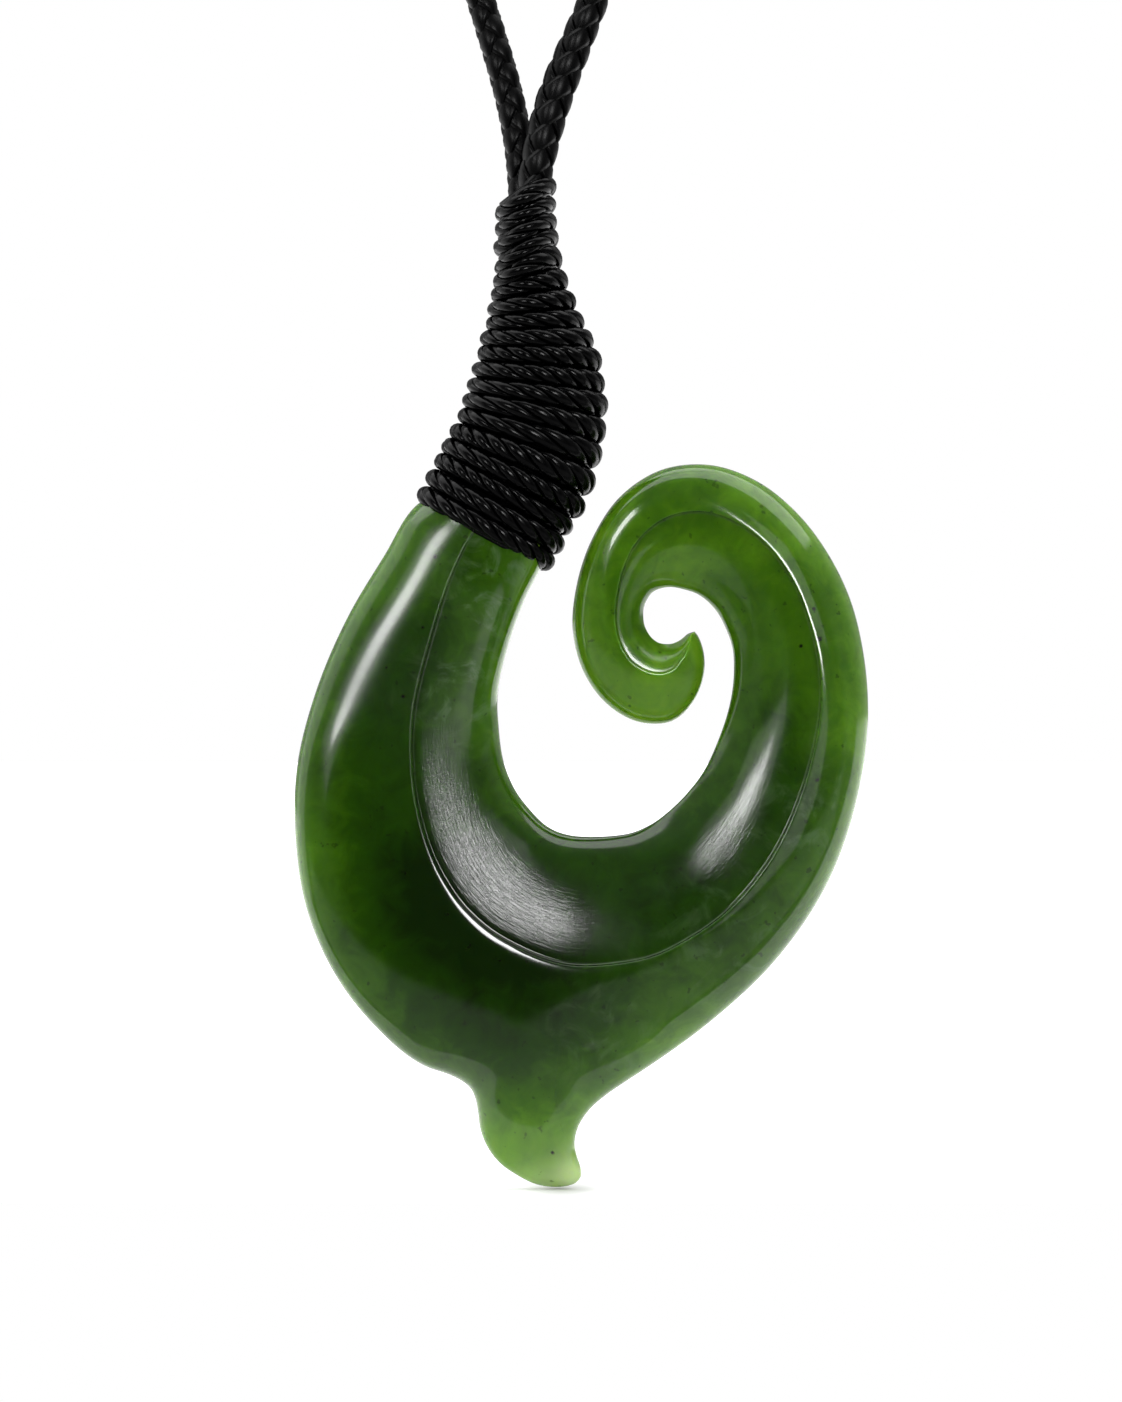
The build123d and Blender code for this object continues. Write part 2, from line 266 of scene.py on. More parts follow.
def nearest(points, line):
    """Each point's distance from a line of short straight steps."""
    tree = KDTree(len(line))
    for number, (x, z) in enumerate(line.tolist()):
        tree.insert((x, z, 0), number)
    tree.balance()
    found = np.array([tree.find((x, z, 0))[1] for x, z in points.tolist()])
    distance = np.linalg.norm(points - line[found], axis=1)
    for first in (np.maximum(found - 1, 0), np.minimum(found, len(line) - 2)):
        start, step = line[first], line[first + 1] - line[first]
        part = np.clip(((points - start) * step).sum(1) / (step ** 2).sum(1), 0, 1)[:, None]
        distance = np.minimum(distance, np.linalg.norm(points - start - part * step, axis=1))
    return distance


# The soft distance reads every sixth point of the line, in batches, and takes over between these two
# distances
line_stride = 6
point_batches = 40
exact_within = 0.3 * MM
soft_beyond = 0.9 * MM


def soft_distance(points, line):
    """Each point's distance from a line, without the crease where two sides of the line are equally far."""
    coarse = line[::line_stride]
    pace = np.linalg.norm(np.diff(coarse, axis=0), axis=1)
    middles = (coarse[1:] + coarse[:-1]) / 2
    sums = np.concatenate([
        (pace / ((part[:, None, :] - middles[None]) ** 2).sum(-1) ** 2).sum(1)
        for part in np.array_split(points, point_batches)
    ])
    # Beside a long straight line such a sum is pi / 2 divided by the distance's cube
    soft = (2 / np.pi * sums) ** (-1 / 3)
    exact = nearest(points, line)
    soft_part = ease(exact_within, soft_beyond, exact)
    return exact * (1 - soft_part) + np.minimum(soft, exact) * soft_part


# The stone

# A station is a row of the table of cuts, and the tang's rows lie below 0. The visible thickness holds this
# far up under the lashing.
hidden_tang_rows = TANG_CUTS[:-1]
first_station = -len(hidden_tang_rows)
last_station = len(HOOK_CUTS) - 1
lashed_edge = 0.35

# The mesh has this many rings along the stone and spans across its two bands, and its back is coarser
station_count = 640
outer_spans = 30
inner_spans = 36
back_every = 2
pace_samples = 8000
edge_samples = 3000

# The carved relief: how sharp the ridge's crest is and how far its wall runs, how far the lip leans, and how
# square the rims, the back and the tail are
crest_radius = 0.008 * MM
wall_run = 0.12 * MM
lip_slope = 0.13
rim_root = 2.1
back_power = 2.6
tail_power = 2.2

# The tail's own thickness and its own dome give way to the hook's between these shares of the height
tail_thin_low = 0.11
tail_thin_high = 0.185
tail_dome_low = 0.09
tail_dome_high = 0.19

# How many stations the tail and the bend at its neck take to come and go
tail_outside = 0.6
tail_inside = 0.3
neck_comes = 0.35
neck_goes = 0.5

# Keeps a share of two distances from dividing by zero
tiny = 1e-9

# The cross-section's form by station. The outer band's dome has a power, higher where it is squarer, and is
# cut off at the ridge at the crown's share. The inner band falls by a share of its height and rolls over at
# its rim. The lip is the width of the narrow facet along the ridge's top, which leans inwards, in metres.
Profile = namedtuple("Profile", "station power crown fall rim_power lip")
PROFILES = [
    Profile(-7, 2.0, 1.00, 0.10, 2.6, 0),
    Profile(0, 2.2, 0.88, 0.08, 8.0, 0),
    Profile(2, 2.4, 0.93, 0.08, 9.0, 0),
    Profile(3, 2.9, 0.97, 0.12, 9.0, 0),
    Profile(4, 3.7, 1.00, 0.24, 10.0, 0),
    Profile(5, 4.3, 1.00, 0.46, 11.0, 0),
    Profile(6, 4.2, 1.00, 0.60, 12.0, 0.12 * MM),
    Profile(7, 4.2, 1.00, 0.66, 13.0, 0.30 * MM),
    Profile(8, 3.9, 1.00, 0.70, 14.0, 0.42 * MM),
    Profile(9, 3.3, 1.00, 0.72, 15.0, 0.52 * MM),
    Profile(10, 2.6, 0.97, 0.76, 15.0, 0.56 * MM),
    Profile(11, 2.1, 0.92, 0.82, 15.0, 0.36 * MM),
    Profile(12, 2.0, 0.90, 0.86, 14.0, 0.16 * MM),
    Profile(13, 2.1, 0.90, 0.88, 9.0, 0.05 * MM),
    Profile(14, 2.2, 0.90, 0.86, 7.0, 0),
    Profile(15, 2.3, 0.90, 0.82, 6.5, 0),
    Profile(17, 2.0, 0.86, 0.76, 6.0, 0),
    Profile(21, 2.1, 0.86, 0.64, 5.0, 0),
    Profile(23, 2.8, 0.94, 0.60, 5.0, 0),
    Profile(25, 2.8, 0.94, 0.58, 5.0, 0),
    Profile(27, 2.0, 0.84, 0.72, 4.0, 0),
    Profile(30, 2.0, 0.85, 0.86, 3.5, 0),
    Profile(33, 2.0, 0.86, 0.80, 3.0, 0),
    Profile(36, 2.0, 0.90, 0.40, 2.4, 0),
]


def station_tables():
    """Knots for the stone's outer edge without its tail, its inner edge and the rest, by station."""
    tang_share = tang_thickness / hook_thickness
    tang = [Cut(*cut[:4], cut.thickness * tang_share, ridge=0.5, step=0.0) for cut in hidden_tang_rows]
    rows = np.array(tang + HOOK_CUTS)
    return rows[:, :2], rows[:, 2:4], rows[:, 4:]


def outer_edge(stations, body_outer):
    """The outer edge at each station, which runs round the tail between the tail's two stations."""
    numbers = np.arange(first_station, last_station + 1)
    before = numbers <= tail_starts
    after = numbers >= tail_ends
    outline = place(*np.vstack([body_outer[before], TAIL_OUTLINE, body_outer[after]]).T)
    lengths = lengths_along(outline)
    start = before.sum() - 1
    end = start + len(TAIL_OUTLINE) + 1
    share = (lengths[start:end + 1] - lengths[start]) / (lengths[end] - lengths[start])
    tail_numbers = tail_starts + share * (tail_ends - tail_starts)
    knots = np.concatenate([numbers[before][:-1], tail_numbers, numbers[after][1:]])
    return smooth_curve(lengths, outline, smooth_curve(knots, lengths, stations)[:, 0])


def stone_lines(stations):
    """The outer edge, ridge, inner edge and the other values at each station."""
    body_outer, inner, rest = station_tables()
    numbers = np.arange(first_station, last_station + 1)
    inner_edge = smooth_curve(numbers, place(*inner.T), stations)
    body_edge = smooth_curve(numbers, place(*body_outer.T), stations)
    thickness, ridge, step = smooth_curve(numbers, rest, stations).T
    visible = smooth_curve(numbers[-first_station:], rest[-first_station:, 0], np.maximum(stations, 0))[:, 0]
    thickness = np.where(stations > -lashed_edge, visible, np.minimum(thickness, visible))
    ridge_line = body_edge + ridge[:, None] * (inner_edge - body_edge)
    return outer_edge(stations, body_outer), ridge_line, inner_edge, thickness, step


def even_stations():
    """Stations that lie evenly along the stone's edges."""
    fine = np.linspace(first_station, last_station, pace_samples)
    outer, ridge, inner = stone_lines(fine)[:3]
    paces = [np.linalg.norm(np.diff(line, axis=0), axis=1) for line in (outer, ridge, inner)]
    travelled = np.concatenate([[0], np.cumsum(np.max(paces, axis=0))])
    return np.interp(np.linspace(0, travelled[-1], station_count), travelled, fine)


def stone_heights(flat, edges, stations, tail_part, ridge_side):
    """How far the stone's front and back stand off its middle plane, and how far its lines are."""
    outer, ridge, inner = edges
    thickness, step = stone_lines(stations)[3:]
    profile = np.array(PROFILES)
    power, crown, fall_share, rim_power, lip = smooth_curve(profile[:, 0], profile[:, 1:], stations).T
    from_outer = soft_distance(flat, outer)
    from_ridge = nearest(flat, ridge)
    from_inner = nearest(flat, inner)
    z_share = (flat[:, 1] - hook_low[2]) / hook_height
    tail_depth = np.interp(z_share, *np.array(TAIL_DEPTHS).T)
    thin = tail_part * (1 - ease(tail_thin_low, tail_thin_high, z_share))
    half = hook_thickness / 2 * (thickness * (1 - thin) + tail_depth * thin)
    rise = from_outer / (from_outer + from_ridge + tiny)
    lobe = np.minimum(from_outer / tail_half_width, 1)
    in_tail = tail_part * (1 - ease(tail_dome_low, tail_dome_high, z_share))
    rise = rise * (1 - in_tail) + lobe * in_tail
    power = power * (1 - in_tail) + tail_power * in_tail
    crown = np.minimum(crown * (1 - in_tail) + in_tail, 1)
    dome = (1 - (1 - crown * rise) ** power) ** (1 / power) / (1 - (1 - crown) ** power) ** (1 / power)
    fall = np.clip(from_ridge / (from_ridge + from_inner + tiny), 0, 1)
    roll = (1 - fall_share * fall ** 2) * (1 - fall ** rim_power) ** (1 / rim_root)
    signed = from_ridge * ridge_side
    reach = (signed + np.sqrt(signed ** 2 + 4 * crest_radius ** 2)) / 2
    wall = 1 - (1 - np.clip(reach / wall_run, 0, 1)) ** 2
    lip = np.maximum(lip, 0)
    drop = lip_slope * np.clip(signed + lip, 0, lip) + (ridge_step * step - lip_slope * lip) * wall
    front = np.where(ridge_side < 0, dome * half - drop, (half - drop) * roll)
    across = from_outer / (from_outer + from_inner + tiny)
    across = across * (1 - in_tail) + lobe / 2 * in_tail
    back = half * back_share * (1 - np.abs(2 * across - 1) ** back_power) ** (1 / rim_root)
    return np.maximum(front, 0), back, from_outer, signed, from_inner


# How the stone varies: soft patches at a share of the hook's width and height, their reach a share of its
# width. TONE_AND_PAINTED_GLOW moves the colour from 0, the deep core's green, to 1, the yellow-green of thin
# stone. It is partly the stone's own uneven tone and partly painted light: thin parts are painted brighter as
# if lit through from behind, and the thick bowl darker. CLOUDS_AND_PAINTED_VEIL are partly milky wisps in the
# stone and partly a painted pale reflection on the shank's inner band. PAINTED_FOOT_GLOW paints the tail's
# foot pale as if lit through, SATIN is the scratched part of the bowl, and SOFT where the polish is duller.
# Both edges are painted brighter as if lit at the rim, the inner one only along the shank: this painted light
# fades between two stations. The satin part starts at the ridge and fades at these shares of the way to the
# inner edge.
Patch = namedtuple("Patch", "x z reach amount")
base_tone_and_painted_glow = 0.34
painted_edge_glow = 0.24
painted_edge_glow_reach = 1.6 * MM
painted_inner_glow = 0.30
painted_inner_glow_reach = 1.3 * MM
painted_inner_glow_fades = 7
painted_inner_glow_ends = 10
satin_starts = 0.25 * MM
satin_full = 0.95 * MM
satin_fades = 0.5
satin_ends = 0.8
# Partly the stone's own tone, partly painted light: thin parts brighter as if lit through, the thick bowl
# darker
TONE_AND_PAINTED_GLOW = [
    Patch(0.17, 0.45, 0.13, -0.20),
    Patch(0.27, 0.29, 0.12, -0.30),
    Patch(0.45, 0.24, 0.11, -0.26),
    Patch(0.40, 0.33, 0.09, -0.10),
    Patch(0.68, 0.32, 0.10, -0.14),
    Patch(0.73, 0.37, 0.05, -0.14),
    Patch(0.17, 0.57, 0.07, -0.12),
    Patch(0.22, 0.64, 0.05, -0.10),
    Patch(0.85, 0.46, 0.05, -0.22),
    Patch(0.05, 0.42, 0.06, 0.10),
    Patch(0.85, 0.53, 0.04, -0.14),
    Patch(0.81, 0.41, 0.04, -0.10),
    Patch(0.06, 0.34, 0.06, 0.14),
    Patch(0.60, 0.65, 0.13, 0.16),
    Patch(0.66, 0.70, 0.05, 0.16),
    Patch(0.63, 0.56, 0.06, 0.16),
    Patch(0.84, 0.74, 0.13, 0.13),
    Patch(0.96, 0.52, 0.12, 0.18),
    Patch(0.90, 0.34, 0.10, 0.03),
    Patch(0.66, 0.20, 0.08, 0.14),
    Patch(0.14, 0.24, 0.06, 0.10),
    Patch(0.42, 0.05, 0.07, 0.26),
    Patch(0.43, 0.14, 0.05, 0.08),
]
# Partly milky wisps in the stone, partly a painted pale reflection on the shank's inner band
CLOUDS_AND_PAINTED_VEIL = [
    Patch(0.37, 0.71, 0.05, 0.9),
    Patch(0.34, 0.64, 0.05, 0.8),
    Patch(0.30, 0.56, 0.06, 0.8),
    Patch(0.92, 0.40, 0.09, 0.5),
    Patch(0.78, 0.27, 0.08, 0.4),
    Patch(0.55, 0.18, 0.08, 0.3),
]
# Painted light: the tail's foot is painted pale, as if lit through its thin stone
PAINTED_FOOT_GLOW = [
    Patch(0.49, 0.01, 0.03, 0.9),
    Patch(0.42, 0.00, 0.03, 0.35),
]
SATIN = [
    Patch(0.36, 0.34, 0.10, 1.0),
    Patch(0.30, 0.46, 0.08, 0.7),
    Patch(0.80, 0.44, 0.08, 0.2),
    Patch(0.74, 0.38, 0.05, 0.6),
]
SOFT = [
    Patch(0.22, 0.72, 0.08, 1.0),
    Patch(0.10, 0.58, 0.08, 1.3),
    Patch(0.34, 0.36, 0.08, 0.4),
    Patch(0.63, 0.60, 0.05, 1.6),
    Patch(0.22, 0.13, 0.07, 1.0),
]


def patch_sum(patches, share):
    """The sum of soft patches at points given as shares of the hook's width and height."""
    total = np.zeros(len(share))
    tall = hook_height / hook_width
    for patch in patches:
        away = (share[:, 0] - patch.x) ** 2 + ((share[:, 1] - patch.z) * tall) ** 2
        total += patch.amount * np.exp(-away / (2 * patch.reach ** 2))
    return total


def build_stone(material):
    """The carved stone as one closed mesh of rings across the hook."""
    stations = even_stations()
    outer, ridge, inner = stone_lines(stations)[:3]
    tail_part = ease(tail_starts - tail_outside, tail_starts + tail_inside, stations)
    tail_part *= 1 - ease(tail_ends - tail_inside, tail_ends + tail_outside, stations)
    neck_part = ease(tail_starts, tail_starts + neck_comes, stations)
    neck_part *= 1 - ease(tail_ends - neck_goes, tail_ends, stations)
    neck = place(*tail_neck)
    bend = (outer + ridge) / 2
    bend = bend + neck_part[:, None] * (neck - bend)
    to_ridge = end_spaced(outer_spans)[None, :, None]
    to_inner = end_spaced(inner_spans)[None, 1:, None]
    outer_band = (
        (1 - to_ridge) ** 2 * outer[:, None] + 2 * to_ridge * (1 - to_ridge) * bend[:, None]
        + to_ridge ** 2 * ridge[:, None]
    )
    inner_band = ridge[:, None] * (1 - to_inner) + inner[:, None] * to_inner
    front_xz = np.concatenate([outer_band, inner_band], axis=1)
    across = front_xz.shape[1]
    flat = front_xz.reshape(-1, 2)
    side = np.tile(np.where(np.arange(across) <= outer_spans, -1.0, 1.0), len(stations))

    def spread(values):
        """A value of each station, copied to every point across it."""
        return np.repeat(values, across)

    fine = np.linspace(first_station, last_station, edge_samples)
    edges = stone_lines(fine)[:3]
    front, back, from_outer, signed, from_inner = stone_heights(
        flat, edges, spread(stations), spread(tail_part), side)
    shape = (len(stations), across)
    front, back = front.reshape(shape), back.reshape(shape)
    front[:, [0, -1]] = 0
    picked = np.arange(across - 1 - back_every, 0, -back_every)
    back_xz = front_xz[:, picked]
    front_points = np.stack([front_xz[..., 0], plane_y - front, front_xz[..., 1]], axis=-1)
    back_points = np.stack([back_xz[..., 0], plane_y + back[:, picked], back_xz[..., 1]], axis=-1)
    rings = np.concatenate([front_points, back_points], axis=1)
    sides = rings.shape[1]
    faces = [face[::-1] for face in ring_faces(len(stations), sides)]
    faces.append(list(range(sides)))
    piece = mesh_piece("carved_stone", rings.reshape(-1, 3), faces, material)

    def both(values):
        """A value of the front grid, copied to the back points that lie behind it."""
        values = np.asarray(values).reshape(shape)
        return np.concatenate([values, values[:, picked]], axis=1).ravel()

    band_middle = (ridge + inner) / 2
    share = (flat - np.array([hook_low[0], hook_low[2]])) / np.array([hook_width, hook_height])
    # Painted light: the patches make thin stone brighter as if lit through from behind, and the thick bowl
    # darker, on top of the stone's own uneven tone.
    tone_and_painted_glow = base_tone_and_painted_glow + patch_sum(TONE_AND_PAINTED_GLOW, share)
    # Painted light: the colour is made brighter near the outer edge, and near the inner edge along the shank,
    # as if lit at the rim.
    tone_and_painted_glow += painted_edge_glow * np.exp(-from_outer / painted_edge_glow_reach)
    shank = 1 - ease(painted_inner_glow_fades, painted_inner_glow_ends, spread(stations))
    tone_and_painted_glow += painted_inner_glow * np.exp(-from_inner / painted_inner_glow_reach) * shank
    inward = np.clip(signed / (signed + from_inner + tiny), 0, 1)
    in_bowl = ease(satin_starts, satin_full, signed) * (1 - ease(satin_fades, satin_ends, inward))
    satin = patch_sum(SATIN, share) * in_bowl
    for name, values in (
        ("tone_and_painted_glow", tone_and_painted_glow),
        ("cloud_and_painted_veil", patch_sum(CLOUDS_AND_PAINTED_VEIL, share)),
        ("pale", patch_sum(PAINTED_FOOT_GLOW, share)),
        ("satin", satin),
        ("soft", patch_sum(SOFT, share)),
        ("across_mm", signed / MM),
        ("along_mm", spread(lengths_along(band_middle)) / MM),
    ):
        attribute = piece.data.attributes.new(name, "FLOAT", "POINT")
        attribute.data.foreach_set("value", both(values).astype(np.float32))
    return piece


# The lashing and the plaits

strand_sides = 9

# The lashing cord's plies. Their offsets and radii are shares of its diameter, and they are widened along the
# winding to fill the room between the turns.
ply_count = 3
ply_pitch = 4.8 * MM
ply_offset = 0.27
ply_radial = 0.24
ply_tangential = 0.31
ply_step = 0.2 * MM
least_widening = 0.95
most_widening = 1.45

# A flat band under the cord closes the gaps between its turns. Its width is a share of the room for a turn.
under_depth = 0.28 * MM
under_thickness = 0.3 * MM
under_share = 0.60

# The cord starts this many turns before the first one, and stops this many before the end of the last one
first_tuck = 0.4
last_tuck = 0.25
winding_samples = 12000

# Where the cord's middle lies at the left and right ends of some of its turns, in the same shares as the
# stone. The first five turns hold the neck cords, the others the tang.
Turn = namedtuple("Turn", "number left_x left_z right_x right_z")
TURNS = [
    Turn(0, 0.364, 1.102, 0.441, 1.132),
    Turn(2, 0.362, 1.061, 0.441, 1.092),
    Turn(4, 0.361, 1.022, 0.449, 1.053),
    Turn(5, 0.355, 1.008, 0.461, 1.025),
    Turn(7, 0.346, 0.976, 0.489, 0.979),
    Turn(9, 0.332, 0.943, 0.517, 0.933),
    Turn(11, 0.315, 0.906, 0.530, 0.882),
    Turn(13, 0.297, 0.872, 0.521, 0.827),
    Turn(15, 0.271, 0.837, 0.490, 0.768),
    Turn(17, 0.243, 0.801, 0.453, 0.728),
    Turn(18, 0.229, 0.782, 0.437, 0.707),
]

# The plaits' strands. Their offsets and radii are shares of the plait's thickness, a little more than the
# solid's.
plait_pitch = 7.8 * MM
plait_fullness = 1.09
plait_step = 0.33 * MM
strands_each_way = 4
strand_offset = 0.26
strand_rise = 0.11
strand_radial = 0.13
strand_sideways = 0.31
route_order = 3
route_resolution = 40

# roll turns a plait about its own line. Just above the lashing it may be wider by a share and moved sideways.
widened_place = 13 * MM
widened_reach = 6.5 * MM
Plait = namedtuple("Plait", "name node route roll widening shift")
PLAITS = [
    Plait("left_plait", "neck_cord_left", LEFT_ROUTE, math.radians(45), 0.0, 0.0),
    Plait("right_plait", "neck_cord_right", RIGHT_ROUTE, math.radians(90), 0.22, 0.45 * MM),
]

# A slow unevenness along a cord: how much, how long its waves are, and the seed of its random draws
Wobble = namedtuple("Wobble", "amount period seed")
cord_size_wobble = Wobble(0.08, 9 * MM, 11)
cord_outward_wobble = Wobble(0.09 * MM, 7 * MM, 12)
cord_upward_wobble = Wobble(0.08 * MM, 6 * MM, 13)
cord_twist_wobble = Wobble(0.45, 10 * MM, 14)
plait_size_wobble = Wobble(0.03, 8 * MM, 21)


def twisted_tube(centres, radial, tangential, out, along):
    """One strand's points: an oval ring at each centre, its two radii along the given directions."""
    turns = 2 * np.pi * np.arange(strand_sides) / strand_sides
    return (
        centres[:, None] + (out * radial)[:, None] * np.cos(turns)[None, :, None]
        + (along * tangential)[:, None] * np.sin(turns)[None, :, None]
    )


def join_tubes(tubes):
    """The points and faces of several closed tubes as one mesh."""
    faces = []
    first = 0
    for tube in tubes:
        rings, sides = tube.shape[:2]
        faces += ring_faces(rings, sides, first)
        faces.append(list(range(first, first + sides))[::-1])
        end = first + sides * (rings - 1)
        faces.append(list(range(end, end + sides)))
        first += rings * sides
    return np.concatenate([tube.reshape(-1, 3) for tube in tubes]), faces


def lashing_turns():
    """The left and right ends of each turn of the lashing, and how deep the wound stretch is there."""
    numbers = np.arange(neck_turns + stone_turns)
    ends = np.array(TURNS)
    ends = smooth_curve(ends[:, 0], ends[:, 1:], numbers)
    depths = np.full(len(numbers), cord_spread + neck_cord_diameter / 2)
    rows = (np.arange(stone_turns) + 0.5) / stone_turns * (len(TANG_CUTS) - 1)
    depths[neck_turns:] = np.interp(
        rows, np.arange(len(TANG_CUTS)), [tang_thickness * row.thickness / 2 for row in TANG_CUTS])
    return np.hstack([place(*ends[:, :2].T), place(*ends[:, 2:].T), depths[:, None]])


def lashing_path(turns, wound):
    """The wound cord's centre line after so many turns, with the direction out of the winding."""
    numbers = np.arange(len(turns))
    left = smooth_curve(numbers, turns[:, :2], wound)
    right = smooth_curve(numbers, turns[:, 2:4], wound - 0.5)
    half_depth = smooth_curve(numbers, turns[:, 4], wound)[:, 0] + fit_gap + lashing_diameter / 2
    middle = (left + right) / 2
    reach = (right - left) / 2
    half_width = np.linalg.norm(reach, axis=1, keepdims=True)
    angle = 2 * np.pi * wound
    swing = -np.cos(angle)[:, None]
    points = np.insert(middle + reach * swing, 1, plane_y - half_depth * np.sin(angle), axis=1)
    outward = np.insert(reach * swing / half_width ** 2, 1, -np.sin(angle) / half_depth, axis=1)
    return points, outward


def unit(vectors):
    """The vectors at length one."""
    return vectors / np.linalg.norm(vectors, axis=-1, keepdims=True)


def unevenness(lengths, wobble):
    """A wobble's value at lengths along a line, up to about its amount either way."""
    draws = np.random.default_rng(wobble.seed).uniform(-1, 1, int(lengths[-1] / wobble.period) + 3)
    return wobble.amount * smooth_curve(np.arange(len(draws)), draws, lengths / wobble.period)[:, 0]


def build_lashing(material):
    """One waxed three-ply cord, wound down the neck cords and the tang."""
    turns = lashing_turns()
    fine = np.linspace(-first_tuck, len(turns) - last_tuck, winding_samples)
    lengths = lengths_along(lashing_path(turns, fine)[0])
    wound = np.interp(np.arange(0, lengths[-1], ply_step), lengths, fine)
    points, outward = lashing_path(turns, wound)
    travelled = lengths_along(points)
    tangent = unit(np.gradient(points, axis=0))
    outward = unit(outward - tangent * (outward * tangent).sum(1, keepdims=True))
    upward = np.cross(tangent, outward)
    numbers = np.arange(len(turns))
    swing = -np.cos(2 * np.pi * wound)
    above, below = (smooth_curve(numbers, turns[:, :4], wound + half) for half in (-0.5, 0.5))
    left_pitch, right_pitch = np.linalg.norm((below - above).reshape(-1, 2, 2), axis=2).T
    room = left_pitch * (1 - swing) / 2 + right_pitch * (1 + swing) / 2
    widen = np.clip(room / lashing_diameter, least_widening, most_widening)[:, None]
    size = lashing_diameter * (1 + unevenness(travelled, cord_size_wobble))[:, None]
    points = points + outward * unevenness(travelled, cord_outward_wobble)[:, None]
    points = points + upward * unevenness(travelled, cord_upward_wobble)[:, None]
    twist = 2 * np.pi * (travelled / ply_pitch + unevenness(travelled, cord_twist_wobble))
    tubes = [twisted_tube(
        points - outward * under_depth, outward, upward,
        np.full((len(points), 1), under_thickness), room[:, None] * under_share)]
    for ply in range(ply_count):
        angle = (twist + 2 * np.pi * ply / ply_count)[:, None]
        radial = outward * np.cos(angle) + upward * widen * np.sin(angle)
        tangential = -outward * np.sin(angle) + upward * widen * np.cos(angle)
        tubes.append(twisted_tube(
            points + radial * size * ply_offset, radial, tangential,
            ply_radial * size, ply_tangential * size))
    all_points, faces = join_tubes(tubes)
    return mesh_piece("wound_cord", all_points, faces, material)


def route_line(name, route):
    """Points along a cord's smooth line, read from a curve that has the route as its control points."""
    curve = bpy.data.curves.new(name, "CURVE")
    curve.dimensions = "3D"
    spline = curve.splines.new("NURBS")
    spline.points.add(len(route) - 1)
    for point, position in zip(spline.points, route):
        point.co = (*position, 1)
    spline.order_u = route_order
    spline.use_endpoint_u = True
    curve.resolution_u = route_resolution
    holder = bpy.data.objects.new(name, curve)
    bpy.context.scene.collection.objects.link(holder)
    bpy.context.view_layer.update()
    mesh = bpy.data.meshes.new_from_object(holder)
    points = np.array([vertex.co for vertex in mesh.vertices])
    bpy.data.objects.remove(holder)
    bpy.data.curves.remove(curve)
    bpy.data.meshes.remove(mesh)
    return points


def carried_frame(tangent):
    """Two directions across a line that turn with it and never twist about it."""
    across = np.empty_like(tangent)
    across[0] = unit(np.cross(tangent[0], (0, 1, 0)))
    for i in range(1, len(tangent)):
        across[i] = across[i - 1] - tangent[i] * (across[i - 1] @ tangent[i])
        across[i] /= np.linalg.norm(across[i])
    return across, np.cross(tangent, across)


def build_plait(plait, material):
    """A round plait: half its strands wind each way, and over and under take turns along its columns."""
    line = route_line(plait.name + "_line", plait.route)
    lengths = lengths_along(line)
    travelled = np.arange(0, lengths[-1], plait_step)
    points = np.stack([np.interp(travelled, lengths, line[:, axis]) for axis in range(3)], axis=1)
    tangent = unit(np.gradient(points, axis=0))
    across, depth = carried_frame(tangent)
    turn = 2 * np.pi * travelled / plait_pitch
    size = neck_cord_diameter * plait_fullness * (1 + unevenness(travelled, plait_size_wobble))[:, None]
    near_lashing = np.exp(-((travelled - widened_place) / widened_reach) ** 2)[:, None]
    wide = 1 + plait.widening * near_lashing
    points = points + across * plait.shift * near_lashing
    tubes = []
    for strand in range(2 * strands_each_way):
        way = 1 if strand % 2 else -1
        around = way * turn + 2 * np.pi * (strand / 2) / strands_each_way
        over = (way * np.cos(2 * around))[:, None]
        angle = (around + plait.roll)[:, None]
        radial = across * np.cos(angle) + depth * np.sin(angle)
        spread = across * np.cos(angle) * wide + depth * np.sin(angle)
        centres = points + spread * size * (strand_offset + strand_rise * over)
        sideways = unit(np.cross(np.gradient(centres, axis=0), radial))
        tubes.append(twisted_tube(
            centres, radial, sideways, strand_radial * size, strand_sideways * size * (1 + wide) / 2))
    all_points, faces = join_tubes(tubes)
    return mesh_piece(plait.name, all_points, faces, material)


# Materials

# The Mix node's sockets for colours
mix_share = 0
mix_first = 6
mix_second = 7
mix_result = 2

black = (0, 0, 0)
white = (1, 1, 1)
Stop = namedtuple("Stop", "place colour")
Noise = namedtuple("Noise", "scale detail roughness distortion")


